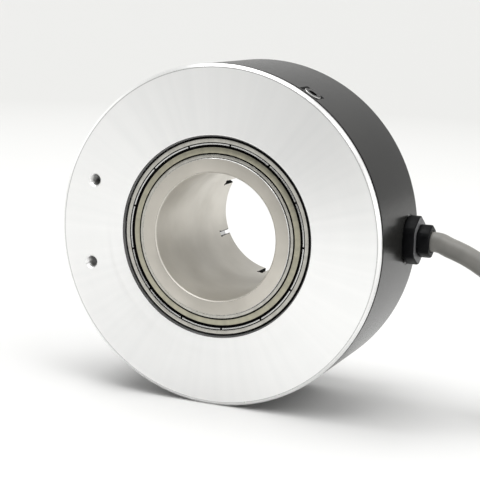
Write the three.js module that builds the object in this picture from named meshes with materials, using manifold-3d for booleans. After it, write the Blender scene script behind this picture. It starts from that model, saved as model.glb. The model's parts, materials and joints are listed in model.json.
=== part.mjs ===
// A through-bore rotary encoder standing on its rim: an aluminium front flange with a long bearing
// hub, a cup-shaped housing held by three radial screws, a slotted hollow shaft on two shielded thin
// ball bearings, a glass code disc read by a lamp and a sensor, and a side gland with its cable.
// The shaft's axis is Y and the front face looks along -Y. Inside the encoder group, y is the
// distance behind the front face. Angles turn from +X towards +Z about the shaft's axis.
import * as THREE from 'three';
import { mergeVertices } from 'three/addons/utils/BufferGeometryUtils.js';
import Module from 'manifold-3d';

const wasm = await Module();
wasm.setup();

// Driving dimensions, in millimetres and degrees.
const BODY_R = 50;
const HOUSING_REAR = 37.5;
const SHAFT_REAR = 53;
const BORE_R = 18.75;
const SHAFT_R = 22.5;
const COLLAR_R = 23.05;
const GAP = 0.3;

const EDGE = 0.8;
const RIM_DEPTH = 1.6;
const JOINT_GAP = 0.6;
const REGISTER_R = 46.7;
const REGISTER_END = 12.8;
const FLANGE_BACK = 9;
const SEAT_R = 29.2;
const HUB_R = 33;
const HUB_END = 23;
const WALL = 3;

const BEARING_WIDTH = 7;
const FRONT_BEARING = 0.6;
const REAR_BEARING = 14.2;
const BEARING_OUTER_R = 28.9;
const OUTER_LAND_R = 27.1;
const INNER_LAND_R = 24;
const INNER_RING_R = 22.8;
const RACE_DEPTH = 0.4;
const BALL_R = 1.6;
const BALL_PITCH_R = 25.6;
const BALL_COUNT = 18;

const FIXING_HOLE_R = 1.7;
const FIXING_HOLE_DEPTH = 8;
const FIXING_CIRCLE_R = 41.5;
const FIXING_ANGLES = [161.5, 196.3];

const SCREW_ANGLES = [59.4, 179.4, 299.4];
const SCREW_Y = 6.6;
const SCREW_PROUD = 0.1;

const DISC_FRONT = 23.7;
const DISC_R = 38.5;
const TRACK_R = 35.7;
const READ_ANGLE = 90;
const BOARD_FRONT = 28.5;
const BOARD_BACK = 30.1;
const BOARD_INNER_R = 29.3;
const BOARD_OUTER_R = 44.5;
const BOARD_START = 20;
const STANDOFF_R = 42;
const STANDOFF_ANGLES = [44, 124, 236, 316];

const SLOT_ANGLES = [23.4, 80.4, 150.4, 203.4, 260.4, 330.4];
const SLOT_WIDTH = 1.2;
const SLOT_FRONT = 46;
const CLAMP_SEAT_R = 20;
const CLAMP_SEAT_FRONT = 40.6;
const CLAMP_FRONT = 43.2;
const CLAMP_REAR = 52.7;
const CLAMP_R = 31.5;
const CLAMP_ANGLE = 115;
const CLAMP_SCREW_R = 26.4;

const GLAND_ANGLE = 0.6;
const GLAND_Y = 29;
const CABLE_R = 3;
const FLOOR = -BODY_R;

const COIL_X = 120.7;
const COIL_Y = 40.2;
const COIL_INNER_R = 25;
const COIL_OUTER_R = 37;
const COIL_TOP = -32.2;
const TOP_TURN_R = 28;

// The cable's free stretch, from the gland's mouth down to the coil.
const CABLE_ROUTE = [
  [57.4, 29, 0.6],
  [59.5, 29, 0.4],
  [62.1, 29, -0.6],
  [66.9, 28.7, -2.2],
  [71.4, 28.1, -4.2],
  [75.7, 27.1, -6.6],
  [79.3, 25.8, -9.7],
  [82.2, 24.4, -13.5],
  [84.4, 23.1, -17.8],
  [86.4, 21.7, -22.2],
  [88.8, 19.8, -26.1],
  [89.9, 19, -27.5],
];

const SMOOTH = 48;
const HIDDEN = 32;
const SMALL = 12;

const BRIGHT_ALUMINIUM = [0xdadcdd, 0.32, 1];
const BLACK_ANODISED = [0x2c2c2c, 0.42, 0.6];
const BEARING_STEEL = [0xb7b5ae, 0.25, 1];
const SHIELD_STEEL = [0xa8a58c, 0.35, 1];
const SHAFT_STEEL = [0xbab5ab, 0.28, 1];
const DARK_STEEL = [0x2f2f31, 0.4, 0.9];
const BRASS = [0xb99a55, 0.35, 1];
const RUBBER = [0x191919, 0.75, 0];
const BLACK_NYLON = [0x15171b, 0.5, 0];
const GREY_PVC = [0x8e8c87, 0.5, 0];
const CLEAR_GLASS = [0xcfe3e0, 0.08, 0];
const BOARD_GREEN = [0x1f5a35, 0.5, 0];
const CHIP_BLACK = [0x1c1c1e, 0.55, 0];
const IVORY_NYLON = [0xd9d3bf, 0.5, 0];
const LEAD_INSULATION = [0xa8622a, 0.5, 0];

const encoder = new THREE.Group();
encoder.position.y = -SHAFT_REAR / 2;

// Geometry helpers ------------------------------------------------------------------------------

function addMesh(name, geometry, [color, roughness, metalness]) {
  const material = new THREE.MeshStandardMaterial({ color, roughness, metalness });
  const mesh = new THREE.Mesh(geometry, material);
  mesh.name = name;
  encoder.add(mesh);
  return mesh;
}

// A closed ring turned about Y. Its flats lie on the X and Z axes, at the stated radii.
function ring(profile, segments) {
  const flats = 1 / Math.cos(Math.PI / segments);
  const points = profile.map(([radius, y]) => new THREE.Vector2(radius * flats, y));
  points.push(points[0].clone());
  return new THREE.LatheGeometry(points, segments, Math.PI / segments);
}

function sleeve(inner, outer, front, back, segments) {
  return ring([[inner, front], [outer, front], [outer, back], [inner, back]], segments);
}

// A solid body turned about Y, whose profile starts and ends on the axis.
function turned(profile, segments) {
  return new THREE.LatheGeometry(profile.map(([radius, y]) => new THREE.Vector2(radius, y)), segments);
}

function rod(radius, from, to, segments) {
  return new THREE.CylinderGeometry(radius, radius, to - from, segments).translate(0, (from + to) / 2, 0);
}

// A prism along Y from a flat outline.
function prism(outline, from, to) {
  const shape = new THREE.Shape(outline.map(([x, y]) => new THREE.Vector2(x, y)));
  const settings = { depth: to - from, bevelEnabled: false };
  return new THREE.ExtrudeGeometry(shape, settings).rotateX(-Math.PI / 2).translate(0, from, 0);
}

// The corners of a hexagon whose points are cut back to a circle.
function trimmedHexagon(acrossFlats, cornerR) {
  const half = acrossFlats / 2;
  const spread = Math.acos(half / cornerR);
  const outline = [];
  for (let side = 0; side < 6; side += 1) {
    const middle = side * Math.PI / 3;
    for (const angle of [middle - spread, middle + spread]) {
      outline.push([cornerR * Math.cos(angle), cornerR * Math.sin(angle)]);
    }
  }
  return outline;
}

// A place on the shaft's axis whose own Y axis points outwards and whose X axis runs along the shaft.
function outwardFrame(degrees, y) {
  const angle = THREE.MathUtils.degToRad(degrees);
  const outward = new THREE.Vector3(Math.cos(angle), 0, Math.sin(angle));
  const along = new THREE.Vector3(0, 1, 0);
  const across = new THREE.Vector3().crossVectors(along, outward);
  return new THREE.Matrix4().makeBasis(along, outward, across).setPosition(0, y, 0);
}

function onCircle(radius, degrees, y) {
  const angle = THREE.MathUtils.degToRad(degrees);
  return new THREE.Vector3(radius * Math.cos(angle), y, radius * Math.sin(angle));
}

function solidOf(geometry) {
  const bare = geometry.index ? geometry.toNonIndexed() : geometry;
  const shell = new THREE.BufferGeometry().setAttribute('position', bare.getAttribute('position'));
  const merged = mergeVertices(shell, 1e-4);
  const vertProperties = merged.attributes.position.array;
  const triVerts = new Uint32Array(merged.index.array);
  return new wasm.Manifold(new wasm.Mesh({ numProp: 3, vertProperties, triVerts }));
}

function geometryOf(solid) {
  const { vertProperties, triVerts } = solid.getMesh();
  const geometry = new THREE.BufferGeometry();
  geometry.setAttribute('position', new THREE.BufferAttribute(new Float32Array(vertProperties), 3));
  geometry.setIndex(new THREE.BufferAttribute(new Uint32Array(triVerts), 1));
  return geometry;
}

function cut(body, tools) {
  return geometryOf(tools.reduce((rest, tool) => rest.subtract(solidOf(tool)), solidOf(body)));
}

function join(pieces) {
  return geometryOf(pieces.map(solidOf).reduce((whole, piece) => whole.add(piece)));
}

// Casing ----------------------------------------------------------------------------------------

function addFrontFlange() {
  const grooveR = REGISTER_R - 1.3;
  const profile = [
    [SEAT_R + 0.6, 0],
    [BODY_R - EDGE, 0],
    [BODY_R, EDGE],
    [BODY_R, RIM_DEPTH],
    [REGISTER_R, RIM_DEPTH],
    [REGISTER_R, 9.6],
    [grooveR, 9.6],
    [grooveR, 11.6],
    [REGISTER_R, 11.6],
    [REGISTER_R, REGISTER_END],
    [44.4, REGISTER_END],
    [44.4, FLANGE_BACK],
    [HUB_R, FLANGE_BACK],
    [HUB_R, HUB_END],
    [27, HUB_END],
    [27, 21.5],
    [SEAT_R, 21.5],
    [SEAT_R, 0.6],
  ];
  const tools = FIXING_ANGLES.map((degrees) => {
    const place = onCircle(FIXING_CIRCLE_R, degrees, 0);
    return rod(FIXING_HOLE_R, -1, FIXING_HOLE_DEPTH, SMALL).translate(place.x, 0, place.z);
  });
  for (const degrees of SCREW_ANGLES) {
    tools.push(rod(1.6, 40.8, BODY_R, SMALL).applyMatrix4(outwardFrame(degrees, SCREW_Y)));
  }
  for (const degrees of STANDOFF_ANGLES) {
    const place = onCircle(STANDOFF_R, degrees, 0);
    tools.push(rod(1.4, 4.6, FLANGE_BACK + 1, SMALL).translate(place.x, 0, place.z));
  }
  addMesh('front_flange', cut(ring(profile, SMOOTH), tools), BRIGHT_ALUMINIUM);
}

function addHousing() {
  const front = RIM_DEPTH + JOINT_GAP;
  const sealHoleR = 27.3;
  const profile = [
    [BODY_R - WALL, front],
    [BODY_R - 0.4, front],
    [BODY_R, front + 0.4],
    [BODY_R, HOUSING_REAR - 0.6],
    [BODY_R - 0.6, HOUSING_REAR],
    [sealHoleR, HOUSING_REAR],
    [sealHoleR, HOUSING_REAR - WALL],
    [BODY_R - WALL, HOUSING_REAR - WALL],
  ];
  const tools = [];
  for (const degrees of SCREW_ANGLES) {
    const place = outwardFrame(degrees, SCREW_Y);
    tools.push(rod(1.6, BODY_R - 5, BODY_R, SMALL).applyMatrix4(place));
    tools.push(rod(2.9, 48, BODY_R + 2, SMALL).applyMatrix4(place));
  }
  const glandPlace = outwardFrame(GLAND_ANGLE, GLAND_Y);
  tools.push(rod(5.2, BODY_R - 5, BODY_R + 2, SMALL).applyMatrix4(glandPlace));
  tools.push(rod(7.6, 49.3, BODY_R + 2, 24).applyMatrix4(glandPlace));
  addMesh('housing', cut(ring(profile, SMOOTH), tools), BLACK_ANODISED);
}

function addCasingSeals() {
  addMesh('housing_o_ring', sleeve(45.6, 46.8, 9.9, 11.3, HIDDEN), RUBBER);
  const seal = sleeve(SHAFT_R + 0.45, 27, HOUSING_REAR - WALL + GAP, HOUSING_REAR - GAP, HIDDEN);
  addMesh('rear_dust_seal', seal, RUBBER);
}

function addHousingScrews() {
  const headTop = BODY_R + SCREW_PROUD;
  const profile = [[0, 41.3], [1.3, 41.3], [1.3, 48.3], [2.6, 48.3], [2.6, headTop], [0, headTop]];
  SCREW_ANGLES.forEach((degrees, index) => {
    const screw = addMesh(`housing_screw_${index + 1}`, turned(profile, SMALL), DARK_STEEL);
    screw.applyMatrix4(outwardFrame(degrees, SCREW_Y));
  });
}

// Bearings --------------------------------------------------------------------------------------

function bearingOuterRing() {
  const middle = BEARING_WIDTH / 2;
  return ring([
    [OUTER_LAND_R, 0],
    [BEARING_OUTER_R, 0],
    [BEARING_OUTER_R, BEARING_WIDTH],
    [OUTER_LAND_R, BEARING_WIDTH],
    [OUTER_LAND_R, middle + 1.4],
    [OUTER_LAND_R + RACE_DEPTH, middle + 0.6],
    [OUTER_LAND_R + RACE_DEPTH, middle - 0.6],
    [OUTER_LAND_R, middle - 1.4],
  ], HIDDEN);
}

function bearingInnerRing() {
  const middle = BEARING_WIDTH / 2;
  return ring([
    [INNER_RING_R, 0],
    [INNER_LAND_R, 0],
    [INNER_LAND_R, middle - 1.4],
    [INNER_LAND_R - RACE_DEPTH, middle - 0.6],
    [INNER_LAND_R - RACE_DEPTH, middle + 0.6],
    [INNER_LAND_R, middle + 1.4],
    [INNER_LAND_R, BEARING_WIDTH],
    [INNER_RING_R, BEARING_WIDTH],
  ], HIDDEN);
}

// The balls and the thin ribbon that spaces them, as one body that travels round the race.
function ballCage() {
  const middle = BEARING_WIDTH / 2;
  const pieces = [sleeve(BALL_PITCH_R - 0.4, BALL_PITCH_R + 0.4, middle - 0.4, middle + 0.4, 36)];
  for (let index = 0; index < BALL_COUNT; index += 1) {
    const place = onCircle(BALL_PITCH_R, 360 * index / BALL_COUNT, middle);
    pieces.push(new THREE.SphereGeometry(BALL_R, 6, 5).translate(place.x, place.y, place.z));
  }
  return join(pieces);
}

function addBearing(name, front) {
  const shieldDepth = 0.35;
  const inset = 0.15;
  const shields = { front: inset, back: BEARING_WIDTH - inset - shieldDepth };
  const pieces = [
    addMesh(`${name}_outer_ring`, bearingOuterRing(), BEARING_STEEL),
    addMesh(`${name}_inner_ring`, bearingInnerRing(), BEARING_STEEL),
    addMesh(`${name}_ball_cage`, ballCage(), BEARING_STEEL),
  ];
  for (const [side, depth] of Object.entries(shields)) {
    const plate = sleeve(INNER_LAND_R + 0.4, OUTER_LAND_R - 0.2, depth, depth + shieldDepth, HIDDEN);
    pieces.push(addMesh(`${name}_${side}_shield`, plate, SHIELD_STEEL));
  }
  for (const piece of pieces) {
    piece.position.y = front;
  }
}

function addBearingSpacers() {
  const front = FRONT_BEARING + BEARING_WIDTH + GAP;
  const back = REAR_BEARING - GAP;
  addMesh('outer_ring_spacer', sleeve(27.4, BEARING_OUTER_R, front, back, HIDDEN), BRIGHT_ALUMINIUM);
  addMesh('inner_ring_spacer', sleeve(INNER_RING_R, 24.2, front, back, HIDDEN), BRIGHT_ALUMINIUM);
}

// Rotor -----------------------------------------------------------------------------------------

function addHollowShaft() {
  const profile = [
    [BORE_R + 0.25, 0],
    [COLLAR_R - 0.15, 0],
    [COLLAR_R, 0.15],
    [COLLAR_R, 0.4],
    [SHAFT_R, 0.4],
    [SHAFT_R, 21.35],
    [21.6, 21.35],
    [21.6, 22.65],
    [SHAFT_R, 22.65],
    [SHAFT_R, CLAMP_SEAT_FRONT - 0.6],
    [SHAFT_R - 0.6, CLAMP_SEAT_FRONT],
    [CLAMP_SEAT_R, CLAMP_SEAT_FRONT],
    [CLAMP_SEAT_R, SHAFT_REAR],
    [BORE_R, SHAFT_REAR],
    [BORE_R, 0.25],
  ];
  const tools = SLOT_ANGLES.map((degrees) => {
    const saw = new THREE.BoxGeometry(10, 10, SLOT_WIDTH).translate(5, BORE_R + 2, 0);
    return saw.applyMatrix4(outwardFrame(degrees, SLOT_FRONT));
  });
  addMesh('hollow_shaft', cut(ring(profile, SMOOTH), tools), SHAFT_STEEL);
}

function addShaftRetainingRing() {
  const body = sleeve(21.9, 24.6, 21.6, 22.4, HIDDEN);
  const opening = new THREE.BoxGeometry(6, 4, 6).translate(0, 22, -23);
  addMesh('shaft_retaining_ring', cut(body, [opening]), DARK_STEEL);
}

function addCodeDisc() {
  addMesh('code_disc', sleeve(23.4, DISC_R, DISC_FRONT, DISC_FRONT + 1, SMOOTH), CLEAR_GLASS);
  const flangeFront = DISC_FRONT + 1 + GAP;
  const flangeBack = flangeFront + 1.6;
  const bossR = 27.5;
  const profile = [
    [SHAFT_R + GAP, flangeFront],
    [29.5, flangeFront],
    [29.5, flangeBack],
    [bossR, flangeBack],
    [bossR, 31.4],
    [SHAFT_R + GAP, 31.4],
  ];
  const setScrewY = 29.2;
  const angles = [30, 150, 270];
  const tools = angles.map((degrees) => rod(1.5, 20, 30, 8).applyMatrix4(outwardFrame(degrees, setScrewY)));
  addMesh('disc_hub', cut(ring(profile, HIDDEN), tools), BRIGHT_ALUMINIUM);
  angles.forEach((degrees, index) => {
    const screw = addMesh(`disc_hub_set_screw_${index + 1}`, rod(1.2, 22.9, 27.2, 8), DARK_STEEL);
    screw.applyMatrix4(outwardFrame(degrees, setScrewY));
  });
}

// The split ring that squeezes the slotted end of the shaft onto the machine's shaft.
function addClampRing() {
  const middle = (CLAMP_FRONT + CLAMP_REAR) / 2;
  const profile = [
    [CLAMP_SEAT_R + GAP, CLAMP_FRONT],
    [CLAMP_R - 0.6, CLAMP_FRONT],
    [CLAMP_R, CLAMP_FRONT + 0.6],
    [CLAMP_R, CLAMP_REAR - 0.6],
    [CLAMP_R - 0.6, CLAMP_REAR],
    [CLAMP_SEAT_R + GAP, CLAMP_REAR],
  ];
  const outward = outwardFrame(CLAMP_ANGLE, middle);
  const acrossSplit = new THREE.Matrix4().makeRotationX(Math.PI / 2).setPosition(0, CLAMP_SCREW_R, 0);
  const screwFrame = outward.clone().multiply(acrossSplit);
  const split = new THREE.BoxGeometry(20, 14, 2).translate(0, CLAMP_SCREW_R, 0).applyMatrix4(outward);
  const threadHole = rod(2.3, -11, 7, SMALL).applyMatrix4(screwFrame);
  const headSeat = rod(3.7, 6, 20, 16).applyMatrix4(screwFrame);
  addMesh('clamp_ring', cut(ring(profile, 40), [split, threadHole, headSeat]), BRIGHT_ALUMINIUM);
  const screwProfile = [[0, -10], [2, -10], [2, 6.3], [3.4, 6.3], [3.4, 10.3], [0, 10.3]];
  const screw = addMesh('clamp_ring_screw', turned(screwProfile, SMALL), DARK_STEEL);
  screw.applyMatrix4(screwFrame);
}

// Optics and electronics ------------------------------------------------------------------------

// A block given as radial, axial and sideways sizes, centred at a radius and angle.
function addBlock(name, size, radius, degrees, y, look) {
  const mesh = addMesh(name, new THREE.BoxGeometry(...size), look);
  mesh.position.copy(onCircle(radius, degrees, y));
  mesh.rotation.y = -THREE.MathUtils.degToRad(degrees);
  return mesh;
}

function addReadingHead() {
  const postFront = FLANGE_BACK + GAP;
  const postBack = 20.4;
  const postSize = [4.4, postBack - postFront, 10];
  addBlock('lamp_post', postSize, TRACK_R, READ_ANGLE, (postFront + postBack) / 2, BLACK_NYLON);
  const dome = [[0, 0], [2.1, 0], [2.1, 1.2], [1.5, 2.2], [0, 2.6]];
  const lamp = addMesh('lamp', turned(dome, SMALL), CLEAR_GLASS);
  lamp.position.copy(onCircle(TRACK_R, READ_ANGLE, postBack + GAP));
  addBlock('reticle', [4.4, 0.6, 7], TRACK_R, READ_ANGLE, 25.5, CLEAR_GLASS);
  addBlock('sensor_chip', [5, 2, 8], TRACK_R, READ_ANGLE, 27.2, CHIP_BLACK);
}

function addCircuitBoard() {
  const start = THREE.MathUtils.degToRad(BOARD_START);
  const end = 2 * Math.PI - start;
  const outline = new THREE.Shape();
  outline.absarc(0, 0, BOARD_OUTER_R, start, end, false);
  outline.absarc(0, 0, BOARD_INNER_R, end, start, true);
  for (const degrees of STANDOFF_ANGLES) {
    const place = onCircle(STANDOFF_R, degrees, 0);
    const hole = new THREE.Path();
    hole.absarc(place.x, place.z, 1.6, 0, 2 * Math.PI, true);
    outline.holes.push(hole);
  }
  const settings = { depth: BOARD_BACK - BOARD_FRONT, bevelEnabled: false, curveSegments: 16 };
  const board = new THREE.ExtrudeGeometry(outline, settings).rotateX(Math.PI / 2);
  addMesh('circuit_board', board.translate(0, BOARD_BACK, 0), BOARD_GREEN);
}

function addBoardFixings() {
  const studFront = 5;
  const bodyFront = FLANGE_BACK + GAP;
  const bodyBack = BOARD_FRONT - GAP;
  const pillar = turned([
    [0, studFront],
    [1.1, studFront],
    [1.1, bodyFront],
    [2, bodyFront],
    [2, bodyBack],
    [0, bodyBack],
  ], 8);
  const bore = rod(1.5, bodyBack - 5, bodyBack + 1, 8);
  const standoff = cut(pillar, [bore]);
  const headFront = BOARD_BACK + GAP;
  const screw = turned([
    [0, bodyBack - 4.6],
    [1.2, bodyBack - 4.6],
    [1.2, headFront],
    [2.2, headFront],
    [2.2, headFront + 1.4],
    [0, headFront + 1.4],
  ], 8);
  STANDOFF_ANGLES.forEach((degrees, index) => {
    const place = onCircle(STANDOFF_R, degrees, 0);
    addMesh(`board_standoff_${index + 1}`, standoff.clone(), BRASS).position.copy(place);
    addMesh(`board_screw_${index + 1}`, screw.clone(), BEARING_STEEL).position.copy(place);
  });
}

function addBoardComponents() {
  const face = BOARD_BACK + GAP;
  addBlock('cable_connector', [6, 3.4, 8], 37.5, 30, face + 1.7, IVORY_NYLON);
  addBlock('line_driver_chip', [6, 1.6, 9], 37, 140, face + 0.8, CHIP_BLACK);
  addBlock('regulator_chip', [5, 1.8, 6], 37, 196, face + 0.9, CHIP_BLACK);
  const can = addMesh('smoothing_capacitor', rod(2.6, 0, 3.2, SMALL), BRIGHT_ALUMINIUM);
  can.position.copy(onCircle(37, 262, face));
}

// Gland and cable -------------------------------------------------------------------------------

function addGland() {
  const place = outwardFrame(GLAND_ANGLE, GLAND_Y);
  const hexagon = prism(trimmedHexagon(13.4, 7.2), 49.6, 53.2);
  const neck = rod(4.9, 44, 50, 16);
  const bore = rod(3.35, 40, 60, SMALL);
  const sealSeat = rod(4.2, 50.5, 60, SMALL);
  const body = addMesh('gland_body', cut(join([hexagon, neck]), [bore, sealSeat]), BLACK_NYLON);
  const capHexagon = prism(trimmedHexagon(9, 4.85), 53.5, 57);
  const capSeat = rod(4.1, 53, 56.2, SMALL);
  const cap = addMesh('gland_cap', cut(capHexagon, [bore, capSeat]), BLACK_NYLON);
  const seal = addMesh('gland_seal', sleeve(3.2, 3.6, 50.8, 55.9, SMALL), RUBBER);
  const sheath = addMesh('cable_in_gland', rod(2.95, 41, 56.9, SMALL), GREY_PVC);
  for (const piece of [body, cap, seal, sheath]) {
    piece.applyMatrix4(place);
  }
}

// A tube of flat-sided section that follows a smooth line through the points.
function tubeAlong(points, radius, sides, steps) {
  const section = new THREE.Shape();
  for (let side = 0; side < sides; side += 1) {
    const angle = 2 * Math.PI * (side + 0.5) / sides;
    const move = side === 0 ? 'moveTo' : 'lineTo';
    section[move](radius * Math.cos(angle), radius * Math.sin(angle));
  }
  const extrudePath = new THREE.CatmullRomCurve3(points.map((point) => new THREE.Vector3(...point)));
  return new THREE.ExtrudeGeometry(section, { steps, extrudePath });
}

function addCable() {
  const leads = [
    [40, 29, 0.4],
    [38.4, 29.1, 1],
    [36.8, 30.6, 5],
    [36.2, 31.9, 8.6],
    [35.5, 32.2, 12.4],
    [34.6, 32.2, 14.9],
  ];
  addMesh('lead_bundle', tubeAlong(leads, 1.2, 6, 10), LEAD_INSULATION);
  addMesh('cable_run', tubeAlong(CABLE_ROUTE, CABLE_R + 0.1, 8, 12), GREY_PVC);
  const profile = [
    [COIL_INNER_R, FLOOR],
    [COIL_OUTER_R, FLOOR],
    [COIL_OUTER_R, COIL_TOP],
    [COIL_INNER_R, COIL_TOP],
  ];
  const coil = addMesh('cable_coil', ring(profile, HIDDEN), GREY_PVC);
  coil.rotation.x = Math.PI / 2;
  coil.position.set(COIL_X, COIL_Y, 0);
  const wireR = 1.4;
  const arc = [];
  for (let degrees = 188; degrees <= 240; degrees += 6.5) {
    const spot = onCircle(TOP_TURN_R, degrees, 0);
    arc.push([COIL_X + spot.x, COIL_Y + spot.z, COIL_TOP + GAP + wireR]);
  }
  addMesh('cable_wire_ends', tubeAlong(arc, wireR, 6, 8), LEAD_INSULATION);
}

addFrontFlange();
addHousing();
addCasingSeals();
addHousingScrews();
addBearing('front_bearing', FRONT_BEARING);
addBearing('rear_bearing', REAR_BEARING);
addBearingSpacers();
addHollowShaft();
addShaftRetainingRing();
addCodeDisc();
addClampRing();
addReadingHead();
addCircuitBoard();
addBoardFixings();
addBoardComponents();
addGland();
addCable();

const group = new THREE.Group();
group.add(encoder);

export default group;
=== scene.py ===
import json
import math

import bmesh
import bpy
from mathutils import Matrix, Vector


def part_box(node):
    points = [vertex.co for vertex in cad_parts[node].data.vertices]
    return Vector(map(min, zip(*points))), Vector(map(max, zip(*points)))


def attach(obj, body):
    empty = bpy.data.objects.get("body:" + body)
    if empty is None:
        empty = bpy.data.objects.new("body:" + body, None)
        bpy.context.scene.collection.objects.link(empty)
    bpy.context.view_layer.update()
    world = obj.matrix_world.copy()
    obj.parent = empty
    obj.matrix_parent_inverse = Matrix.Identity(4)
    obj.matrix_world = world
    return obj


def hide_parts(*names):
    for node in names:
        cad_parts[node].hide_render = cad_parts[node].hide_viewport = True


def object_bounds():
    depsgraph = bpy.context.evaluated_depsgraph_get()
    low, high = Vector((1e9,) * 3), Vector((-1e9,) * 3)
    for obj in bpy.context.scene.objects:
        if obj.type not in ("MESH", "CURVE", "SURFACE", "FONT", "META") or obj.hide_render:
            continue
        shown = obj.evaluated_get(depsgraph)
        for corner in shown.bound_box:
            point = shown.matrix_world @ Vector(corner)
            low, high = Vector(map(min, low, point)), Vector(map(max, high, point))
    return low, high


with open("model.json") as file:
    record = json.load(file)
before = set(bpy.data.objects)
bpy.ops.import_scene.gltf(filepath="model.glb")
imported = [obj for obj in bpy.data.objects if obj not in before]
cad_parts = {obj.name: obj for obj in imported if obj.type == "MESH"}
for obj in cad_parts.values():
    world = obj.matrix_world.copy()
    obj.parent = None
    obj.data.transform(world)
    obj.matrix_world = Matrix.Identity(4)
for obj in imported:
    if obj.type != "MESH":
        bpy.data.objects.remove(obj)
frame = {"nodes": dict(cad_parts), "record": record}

# The encoder stands on its rim. Its shaft's axis is Y, its front face looks along -Y, and depths are
# counted backwards from that face. Profiles are (radius, depth) in millimetres; Blender's own
# numbers are metres. Angles turn from +X towards +Z about the shaft's axis.

CAD_LOW, CAD_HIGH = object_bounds()
RECORD = frame["record"]
BODY_OF = {node: body for body, nodes in RECORD["behaviour"]["bodies"].items() for node in nodes}
SLOT_OF = {row["node"]: row["material_slot"] for row in RECORD["subparts"]}

MM = 0.001
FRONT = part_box("front_flange")[0].y
FLOOR = CAD_LOW.z
SEGMENTS = 256
SMOOTH_ANGLE = 28


def radius_of(node):
    """The outer radius of a CAD node that is turned about the shaft's axis, in millimetres."""
    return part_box(node)[1].z / MM


def depths_of(node):
    """How far the front and back of a CAD node lie behind the front face, in millimetres."""
    low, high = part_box(node)
    return (low.y - FRONT) / MM, (high.y - FRONT) / MM


BODY_R = radius_of("front_flange")
HOUSING_REAR = depths_of("housing")[1]
SHAFT_REAR = depths_of("hollow_shaft")[1]
COLLAR_R = radius_of("hollow_shaft")
SHAFT_R = 22.5
BORE_R = 18.75
SEAT_R = 29.2
EDGE = 0.8
RIM_DEPTH = 1.6
JOINT_GAP = 0.6

FIXING_CIRCLE_R = 41.5
FIXING_ANGLES = (161.5, 196.3)
SCREW_ANGLES = (59.4, 179.4, 299.4)
SCREW_DEPTH = 6.6
SCREW_PROUD = 0.1
SCREW_HOLE_R = 1.6
SCREW_SEAT_R = 48
SLOT_ANGLES = (23.4, 80.4, 150.4, 203.4, 260.4, 330.4)
SLOT_WIDTH = 1.2
SLOT_FRONT = 46
NOTCH_COUNT = 13
BALL_COUNT = 18
BEARING_WIDTH = 7
CLAMP_ANGLE = 115
CLAMP_SCREW_R = 26.4
CLAMP_SEAT_R = 20
CLAMP_SEAT_FRONT = 40.6
GLAND_ANGLE = 0.6
GLAND_DEPTH = 29

CABLE_R = 0.003
CABLE_LENGTH = 1.0
COIL_START = 245

LEFT_WALL = 0.485
RIGHT_WALL = 0.35
CEILING = 0.8


# Camera ----------------------------------------------------------------------------------------

def make_camera():
    azimuth, elevation, roll = (math.radians(angle) for angle in (22.911, 10.14, 2.53))
    pan, tilt = (math.radians(angle) for angle in (1.015, -0.059))
    distance = 0.4175
    zenith = Vector((0, 0, 1))
    back = Vector((
        math.sin(azimuth) * math.cos(elevation),
        -math.cos(azimuth) * math.cos(elevation),
        math.sin(elevation),
    ))
    right = (-back).cross(zenith).normalized()
    forward = (right * math.tan(pan) + right.cross(-back) * math.tan(tilt) - back).normalized()
    right = forward.cross(zenith).normalized()
    up = right.cross(forward)
    rolled_right = right * math.cos(roll) + up * math.sin(roll)
    rolled_up = up * math.cos(roll) - right * math.sin(roll)
    lens = bpy.data.cameras.new("camera")
    lens.lens = 108.28
    lens.sensor_width = 36
    lens.clip_start = 0.01
    camera = bpy.data.objects.new("camera", lens)
    turn = Matrix((rolled_right, rolled_up, -forward)).transposed().to_4x4()
    camera.matrix_world = Matrix.Translation(Vector((0, FRONT, 0)) + back * distance) @ turn
    bpy.context.scene.collection.objects.link(camera)
    bpy.context.scene.camera = camera


# Mesh helpers ----------------------------------------------------------------------------------

def coaxial(depth=0.0):
    """Millimetres about the shaft's axis, with depth 0 at the front face."""
    return Matrix.Translation((0, FRONT + depth * MM, 0)) @ Matrix.Scale(MM, 4)


def beside_axis(radius, degrees):
    """Millimetres about a line parallel to the shaft, with depth 0 at the front face."""
    angle = math.radians(degrees)
    offset = Vector((math.cos(angle), 0, math.sin(angle))) * radius * MM
    return Matrix.Translation(offset) @ coaxial()


def outward(degrees, depth):
    """Millimetres with Y pointing straight out from the shaft's axis and X running along the shaft."""
    angle = math.radians(degrees)
    out = Vector((math.cos(angle), 0, math.sin(angle)))
    along = Vector((0, 1, 0))
    turn = Matrix((along, out, along.cross(out))).transposed().to_4x4()
    return Matrix.Translation((0, FRONT + depth * MM, 0)) @ turn @ Matrix.Scale(MM, 4)


def rounded(corners, steps):
    """The closed outline through (x, y, fillet) corners, with each fillet as an arc."""
    outline = []
    for index, (x, y, fillet) in enumerate(corners):
        here = Vector((x, y))
        if not fillet:
            outline.append((x, y))
            continue
        to_last = (Vector(corners[index - 1][:2]) - here).normalized()
        to_next = (Vector(corners[(index + 1) % len(corners)][:2]) - here).normalized()
        half = to_last.angle(to_next) / 2
        centre = here + (to_last + to_next).normalized() * fillet / math.sin(half)
        start = here + to_last * fillet / math.tan(half) - centre
        end = here + to_next * fillet / math.tan(half) - centre
        sweep = math.atan2(start.x * end.y - start.y * end.x, start.dot(end))
        for step in range(steps + 1):
            outline.append(tuple(centre + Matrix.Rotation(sweep * step / steps, 2) @ start))
    return outline


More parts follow.
